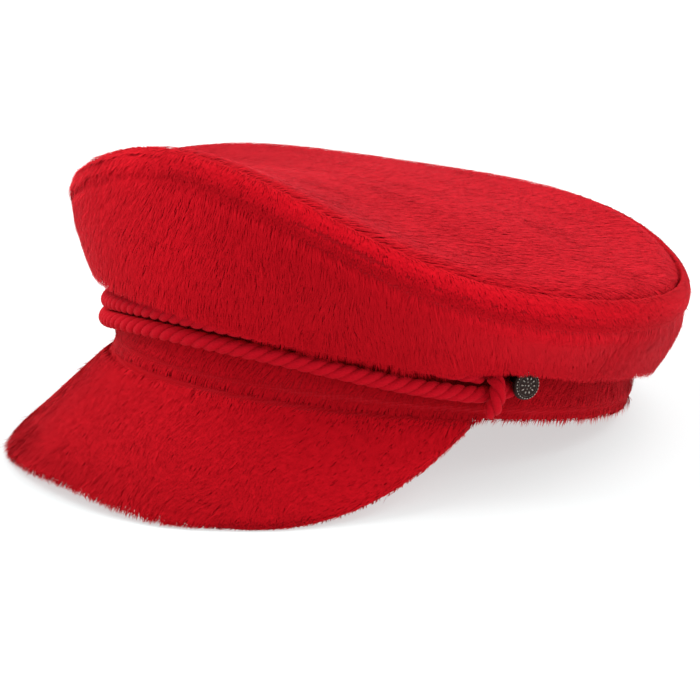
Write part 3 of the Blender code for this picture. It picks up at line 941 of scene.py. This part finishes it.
def ribbons(name, rows, normals, widths, colours, painted_light, roll, material):
    """One mesh of flat tapered hairs that end in a point."""
    count, length = rows.shape[:2]
    along = np.linspace(0, 1, length)
    side = unit(np.cross(unit(np.gradient(rows, axis=1)), normals[:, None, :]))
    side = side * np.cos(roll)[:, None, None] + normals[:, None, :] * np.sin(roll)[:, None, None]
    half = 0.5 * widths[:, None, None] * np.interp(along, HAIR_STEPS, HAIR_TAPER)[None, :, None]
    sign = np.concatenate([np.tile([-1.0, 1.0], length - 1), [0.0]])[None, :, None]
    points = to_corners(rows) + to_corners(side * half) * sign
    points[..., 2] = np.maximum(points[..., 2], LIFT)
    each = points.shape[1]
    quads = [(2 * k, 2 * k + 1, 2 * k + 3, 2 * k + 2) for k in range(length - 2)]
    pattern = [index for quad in quads for index in quad] + [each - 3, each - 2, each - 1]
    loops = (np.arange(count)[:, None] * each + np.array(pattern)).ravel()
    totals = np.tile([4] * len(quads) + [3], count)
    mesh = bpy.data.meshes.new(name)
    mesh.vertices.add(count * each)
    mesh.vertices.foreach_set("co", points.ravel())
    mesh.loops.add(len(loops))
    mesh.loops.foreach_set("vertex_index", loops)
    mesh.polygons.add(len(totals))
    mesh.polygons.foreach_set("loop_start", np.concatenate([[0], np.cumsum(totals)[:-1]]))
    mesh.polygons.foreach_set("loop_total", totals)
    mesh.update(calc_edges=True)
    values = np.ones((count, each, 4))
    values[..., 0] = to_corners(along[None])
    values[..., 1:3] = colours[:, None, :]
    values[..., 3] = to_corners(painted_light)
    mesh.attributes.new("hair", "FLOAT_COLOR", "POINT").data.foreach_set("color", values.ravel())
    mesh.shade_smooth()
    shading = unit(normals[:, None, :] + 0.07 * to_corners(side) * sign)
    mesh.normals_split_custom_set_from_vertices(shading.reshape(-1, 3).tolist())
    return new_piece(name, mesh, material)


def clumps(places, random, size, area):
    """Index and middle of each hair's tuft."""
    count = max(1, int(area / size ** 2))
    middles = places[random.choice(len(places), size=min(count, len(places)), replace=False)]
    tree = point_tree(middles)
    owner = np.array([tree.find(place)[1] for place in places.tolist()])
    return owner, middles[owner]


def pile(name, surface, spec, settings, material):
    """Grow a panel's hairs and join them to one piece."""
    random = np.random.default_rng(settings.seed + spec["seed"])
    places, normals = surface.scatter(spec["count"], random, spec["share"])
    count = len(places)
    owner, middles = clumps(places, random, spec["tuft"], surface.area.sum())
    tuft = np.random.default_rng(settings.seed + 100 + spec["seed"]).random((owner.max() + 1, 4))[owner]
    wild = random.random(count) < spec["wild"]
    lengths = spec["length"] * (0.72 + 0.36 * random.random(count) + 0.24 * (tuft[:, 0] - 0.5))
    level = random.random(count)
    heights = spec["height"] * (0.66 + 0.24 * level + 0.12 * (tuft[:, 1] - 0.5))
    heights = np.where(wild, heights + spec["height"] * (0.4 + 0.9 * random.random(count)), heights)
    heights = heights * spec["taller"](places)
    swing = np.radians(spec["swing"]) * (tuft[:, 2] - 0.5) * 2
    swing = swing + np.radians(spec["stray"]) * random.normal(size=count)

    def nap(points, facing):
        way = unit(flat_on(spec["comb"](points), facing))
        bend = swing + np.radians(spec["sway"]) * ripple(points, 0.034, spec["seed"])
        way = way * np.cos(bend)[:, None] + np.cross(facing, way) * np.sin(bend)[:, None]
        hang = spec["hang"] * smooth_step(-(facing @ CAP_UP), 0.78, 0.97)[:, None]
        return unit(way * (1 - hang) - CAP_UP * hang)

    longer = spec["longer"](places)
    lengths = lengths * longer
    lengths = lengths * spec["cut"](places, nap(places, normals), lengths)
    loose = spec["loose"](places)
    rows, facing = grow(surface, places, normals, nap, lengths, heights, spec["groove"], loose)
    pull = 0.18 * np.linspace(0, 1, rows.shape[1]) ** 1.4
    rows = rows + flat_on(middles - places, facing)[:, None, :] * pull[None, :, None]
    roll = np.radians(6) * random.normal(size=count).clip(-1.6, 1.6)
    widths = settings.hair_width * spec["width"] * (2.3 - 1.5 * smooth_step(level, 0.2, 0.7))
    widths = widths / np.maximum(longer, 1.0) ** 0.6
    # Painted light and shade at each hair's root, middle and tip: dark seam and stitch lines, and places made
    # lighter or darker by turn and across the panels.
    painted_light = np.stack([spec["shade"](row) for row in (places, rows[:, 1], rows[:, 2])], axis=1)
    colours = np.stack([random.random(count), tuft[:, 3]], axis=1)
    shading = unit(facing + normals + spec["lean"](places))
    belongs(ribbons(name, rows, shading, widths, colours, painted_light, roll, material))


class CAP_OT_pile(bpy.types.Operator):
    """Grow the combed pile on every outer face of the cloth"""
    bl_idname = "cap.pile"
    bl_label = "Pile"

    def execute(self, context):
        settings = context.scene.cap_pile
        materials = {}
        # Painted light and shade: each panel's pile gets its own lighter or darker copy of one material.
        for pile_material, (strength, sheen) in PAINTED_LIGHT_AND_SHEEN.items():
            bright = tuple(strength * channel for channel in settings.bright)
            materials[pile_material] = pile_finish(pile_material, settings.deep, bright, sheen)
        for name, spec in PILES.items():
            surface = Surface(bpy.data.objects[CLOTH_NODES[spec["node"]]], spec["ways"], spec["seat"])
            pile(name, surface, spec, settings, materials[spec["pile_material"]])
        return {"FINISHED"}


# Cords


def centre_line(node):
    """Centre points of a cord's plain tube, from its rings of corners."""
    points = node_points(node)
    turns = turn_of(points)
    order = np.argsort(turns)
    rings = np.split(order, np.flatnonzero(np.diff(turns[order]) > 1.2) + 1)
    return np.array([0.5 * (points[ring].min(axis=0) + points[ring].max(axis=0)) for ring in rings])


def even_line(points, spacing):
    """Evenly spaced points along a smooth curve through the given ones."""
    knots = np.concatenate([[0.0], np.cumsum(np.linalg.norm(np.diff(points, axis=0), axis=1))])
    slopes = np.gradient(points, knots, axis=0)
    at = np.linspace(0.0, knots[-1], max(4, round(knots[-1] / spacing)) + 1)
    index = np.clip(np.searchsorted(knots, at) - 1, 0, len(knots) - 2)
    span = (knots[index + 1] - knots[index])[:, None]
    share = (at - knots[index])[:, None] / span
    rest = 1 - share
    start = (1 + 2 * share) * rest ** 2 * points[index] + share * rest ** 2 * span * slopes[index]
    index = index + 1
    end = share ** 2 * (3 - 2 * share) * points[index] + share ** 2 * (share - 1) * span * slopes[index]
    return at, start + end


def cord_radius(node, line):
    """Radius of a cord's plain tube."""
    tree = point_tree(line)
    return float(np.median([tree.find(point)[2] for point in node_points(node).tolist()]))


def twisted_cord(node, line, at, first, radius, settings, material):
    """Plies laid round a line, as one mesh of round tubes."""
    along = unit(np.gradient(line, axis=0))
    first = unit(flat_on(first, along))
    second = np.cross(along, first)
    ply = radius * 0.50
    ends = np.minimum(smooth_step(at, -0.0001, 0.0002), smooth_step(at[-1] - at, -0.0001, 0.0002))
    size = ply * (0.35 + 0.65 * np.sqrt(ends))
    ring = np.linspace(0, 2 * math.pi, CORD_SIDES, endpoint=False)
    points, faces, painted_ply_shade = [], [], []
    for index in range(settings.plies):
        angle = 2 * math.pi * (index / settings.plies - at / settings.lay)
        wave = first * np.cos(angle)[:, None] + second * np.sin(angle)[:, None]
        middle = line + wave * (radius - ply)
        heading = unit(np.gradient(middle, axis=0))
        out = unit(flat_on(wave, heading))
        across = np.cross(heading, out)
        circle = (out[:, None, :] * np.cos(ring)[None, :, None] * 0.98
                  + across[:, None, :] * np.sin(ring)[None, :, None] * 1.10)
        base = len(points)
        points.extend((middle[:, None, :] + circle * size[:, None, None]).reshape(-1, 3))
        # Painted shade: each ply is darker on its side towards the cord's middle, where the plies meet.
        painted_ply_shade.extend(np.tile(0.5 + 0.5 * np.cos(ring), len(at)))
        faces.extend(ring_faces(base, len(at), CORD_SIDES))
        for row, order in ((0, -1), (len(at) - 1, 1)):
            faces.extend(fan_faces(len(points), base + row * CORD_SIDES, CORD_SIDES, order))
            points.append(middle[row] + heading[row] * order * ply * 0.4)
            painted_ply_shade.append(0.5)
    piece = closed_piece(node + "_rope", points, faces, "painted_ply_shade", painted_ply_shade, material)
    belongs(piece)
    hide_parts(node)


class CAP_OT_cords(bpy.types.Operator):
    """Lay the plies of the two long cords"""
    bl_idname = "cap.cords"
    bl_label = "Cords"

    def execute(self, context):
        settings = context.scene.cap_cord
        material = cord_finish("spun_cord", settings.colour)
        for node in ("cord_lower", "cord_upper"):
            at, line = even_line(centre_line(node), CORD_SPACING)
            radius = cord_radius(node, even_line(centre_line(node), 0.0002)[1])
            twisted_cord(node, line, at, outwards(line), radius * 1.03, settings, material)
        return {"FINISHED"}


class CAP_OT_wraps(bpy.types.Operator):
    """Turn the keeper wraps over the lower cord"""
    bl_idname = "cap.wraps"
    bl_label = "Keeper wraps"

    def execute(self, context):
        settings = context.scene.cap_cord
        material = cord_finish("wrap_cord", settings.colour)
        lower = even_line(centre_line("cord_lower"), 0.0005)[1]
        for node in ("cord_wrap_left", "cord_wrap_right"):
            points = node_points(node)
            core = lower[np.argmin(np.linalg.norm(lower - points.mean(axis=0), axis=1))]
            out = outwards(core[None])[0]
            local = points - core
            angles = np.arctan2(local @ CAP_UP, local @ out)
            reach = np.hypot(local @ CAP_UP, local @ out)
            around = 0.5 * (reach.min() + reach.max())
            radius = 0.5 * (reach.max() - reach.min())
            sweep = np.linspace(np.percentile(angles, 97), np.percentile(angles, 3), 60)
            first = out * np.cos(sweep)[:, None] + CAP_UP * np.sin(sweep)[:, None]
            at = around * np.abs(sweep - sweep[0])
            twisted_cord(node, core + first * around, at, first, radius, settings, material)
        return {"FINISHED"}


# Studs


def stud_relief(angle, share, beads):
    """Height over the face: a beaded rim, a rope, petals, leaves and a boss."""
    bead = 0.5 + 0.5 * np.cos(beads * angle)
    rim = ridge(share, 0.86, 0.05) * (0.25 + 0.75 * bead)
    rope = 0.6 * ridge(share, 0.72, 0.022)
    petals = ridge(share, 0.47, 0.13) * (0.5 + 0.5 * np.cos(10 * angle)) ** 1.6
    leaves = ridge(share, 0.24, 0.07) * (0.5 - 0.5 * np.cos(5 * angle)) ** 1.4
    return np.maximum.reduce([rim, rope, 0.9 * petals, 0.8 * leaves, ridge(share, 0.0, 0.09)])


class CAP_OT_studs(bpy.types.Operator):
    """Cast the two round studs with a beaded rim and a small flower of petals"""
    bl_idname = "cap.studs"
    bl_label = "Studs"

    def execute(self, context):
        settings = context.scene.cap_stud
        material = metal_finish("old_silver", settings.metal, settings.tarnish)
        for node in ("stud_left", "stud_right"):
            points = node_points(node)
            out = outwards(points.mean(axis=0)[None])[0]
            reach = (points - points.mean(axis=0)) @ out
            face = points[reach > reach.max() - 0.0024]
            middle = 0.5 * (face.min(axis=0) + face.max(axis=0))
            across = np.cross(CAP_UP, out)
            radius = 1.025 * (0.5 * np.ptp(face @ across))
            foot = middle + out * ((face @ out).min() - middle @ out)
            thick = 1.12 * ((face @ out).max() - (face @ out).min())
            belongs(self.cast(node + "_relief", foot, out, across, radius, thick, settings, material))
            frame["nodes"][node].material_slots[0].material = material
        return {"FINISHED"}

    def cast(self, name, foot, out, across, radius, thick, settings, material):
        """A round head whose face carries relief, as a height over the disc."""
        rings, steps = RELIEF_RINGS, RELIEF_STEPS
        share, angle = np.meshgrid(np.linspace(0.0, 1.0, rings + 1)[1:],
                                   np.linspace(0, 2 * math.pi, steps, endpoint=False), indexing="ij")
        relief = stud_relief(angle, share, settings.beads)
        height = thick * (0.55 + 0.2 * (1 - share ** 2) + 0.25 * relief)
        height = height * np.sqrt(np.clip(1 - np.clip((share - 0.93) / 0.07, 0, 1) ** 2, 0, 1))
        up = np.cross(out, across)
        flat = across * (share * np.cos(angle))[..., None] + up * (share * np.sin(angle))[..., None]
        points = foot + flat * radius + out * height[..., None]
        everything = np.concatenate([points.reshape(-1, 3), [foot + out * thick, foot]])
        top, low = rings * steps, rings * steps + 1
        faces = ring_faces(0, rings, steps)
        faces += fan_faces(top, 0, steps, -1) + fan_faces(low, (rings - 1) * steps, steps, 1)
        worn = np.concatenate([relief.ravel(), [1.0, 0.0]])
        return closed_piece(name, everything, faces, "worn", worn, material)


# Stage

# The place that the camera and the lamps look at, and the picture's shift.
TARGET = Vector((0.0, 0.0079, 0.0195))
SHIFT = (-0.0231, 0.0260)
FLOOR_SIZE = 12.0
FLOOR_GLOW = 0.58
WORLD_LIGHT = 0.49
# Each lamp's turn and rise in degrees, its distance and size in metres and its power in watts.
LAMPS = {
    "key": (155.0, 58.0, 1.7, 1.5, 20.0),
    "left": (-55.0, 48.0, 1.9, 1.4, 30.0),
    "right": (100.0, 34.0, 1.9, 1.4, 9.0),
}


def direction(turn, rise):
    """Direction from the cap, by its turn and its rise over the floor."""
    return Vector((math.sin(turn) * math.cos(rise), -math.cos(turn) * math.cos(rise), math.sin(rise)))


class CAP_OT_stage(bpy.types.Operator):
    """Set up the pale floor, the soft light and the camera"""
    bl_idname = "cap.stage"
    bl_label = "Stage"

    def execute(self, context):
        settings = context.scene.cap_stage
        self.floor(settings.floor)
        world = bpy.data.worlds.new("studio")
        world.use_nodes = True
        world.node_tree.nodes["Background"].inputs["Color"].default_value = (1.0, 1.0, 1.0, 1.0)
        world.node_tree.nodes["Background"].inputs["Strength"].default_value = WORLD_LIGHT
        context.scene.world = world
        for name, (turn, rise, distance, size, power) in LAMPS.items():
            self.lamp(name, math.radians(turn), math.radians(rise), distance, size, power)
        self.camera(context.scene, settings)
        context.scene.view_settings.view_transform = "Standard"
        context.scene.view_settings.look = "None"
        return {"FINISHED"}

    def floor(self, colour):
        """A wide pale floor that glows a little."""
        bpy.ops.object.select_all(action="DESELECT")
        bpy.ops.mesh.primitive_plane_add(size=FLOOR_SIZE, location=(0.0, 0.0, 0.0))
        floor = bpy.context.active_object
        floor.name = "floor"
        finish = Finish("floor", roughness=0.9, specular_ior_level=0.1, base_color=(*colour, 1.0),
                        emission_color=(0.96, 1.0, 1.0, 1.0), emission_strength=FLOOR_GLOW)
        floor.data.materials.append(finish.material)

    def lamp(self, name, turn, rise, distance, size, power):
        """A soft square lamp that looks at the cap."""
        way = direction(turn, rise)
        light = bpy.data.lights.new(name, "AREA")
        light.size = size
        light.energy = power
        lamp = link(bpy.data.objects.new(name, light))
        lamp.location = TARGET + way * distance
        lamp.rotation_euler = way.to_track_quat("Z", "Y").to_euler()

    def camera(self, scene, settings):
        """The photo's own view of the cap."""
        turn, roll = settings.azimuth, settings.roll
        right = Vector((math.cos(turn), math.sin(turn), 0.0))
        back = direction(turn, settings.elevation)
        up = back.cross(right)
        rolled_right = right * math.cos(roll) + up * math.sin(roll)
        rolled_up = up * math.cos(roll) - right * math.sin(roll)
        camera = link(bpy.data.objects.new("camera", bpy.data.cameras.new("camera")))
        turned = Matrix((rolled_right, rolled_up, back)).transposed().to_4x4()
        camera.matrix_world = Matrix.Translation(TARGET + back * settings.distance) @ turned
        camera.data.lens = settings.lens
        camera.data.sensor_width = 36.0
        camera.data.shift_x, camera.data.shift_y = SHIFT
        camera.data.clip_start = 0.05
        scene.camera = camera


# Panel and start

# The name of each group of settings in the scene, its class and the operators that read it.
STEPS = {
    "cap_cloth": (CapClothSettings, ("cap.cloth",)),
    "cap_pile": (CapPileSettings, ("cap.pile",)),
    "cap_cord": (CapCordSettings, ("cap.cords", "cap.wraps")),
    "cap_stud": (CapStudSettings, ("cap.studs",)),
    "cap_stage": (CapStageSettings, ("cap.stage",)),
}


class CAP_PT_panel(bpy.types.Panel):
    """The cap's steps and settings"""
    bl_idname = "CAP_PT_panel"
    bl_label = "Cap"
    bl_space_type = "VIEW_3D"
    bl_region_type = "UI"
    bl_category = "Cap"

    def draw(self, context):
        for name, (group, operators) in STEPS.items():
            box = self.layout.box()
            for setting in group.__annotations__:
                box.prop(getattr(context.scene, name), setting)
            for operator in operators:
                box.operator(operator)


CLASSES = (*(group for group, _ in STEPS.values()), CAP_OT_cloth, CAP_OT_pile, CAP_OT_cords, CAP_OT_wraps,
           CAP_OT_studs, CAP_OT_stage, CAP_PT_panel)


def register():
    for cls in CLASSES:
        bpy.utils.register_class(cls)
    for name, (group, _) in STEPS.items():
        setattr(bpy.types.Scene, name, bpy.props.PointerProperty(type=group))


def unregister():
    for name in STEPS:
        delattr(bpy.types.Scene, name)
    for cls in reversed(CLASSES):
        bpy.utils.unregister_class(cls)


def main():
    register()
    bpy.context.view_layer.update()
    bpy.ops.cap.cloth()
    bpy.ops.cap.pile()
    bpy.ops.cap.cords()
    bpy.ops.cap.wraps()
    bpy.ops.cap.studs()
    bpy.ops.cap.stage()


if __name__ == "__main__":
    main()
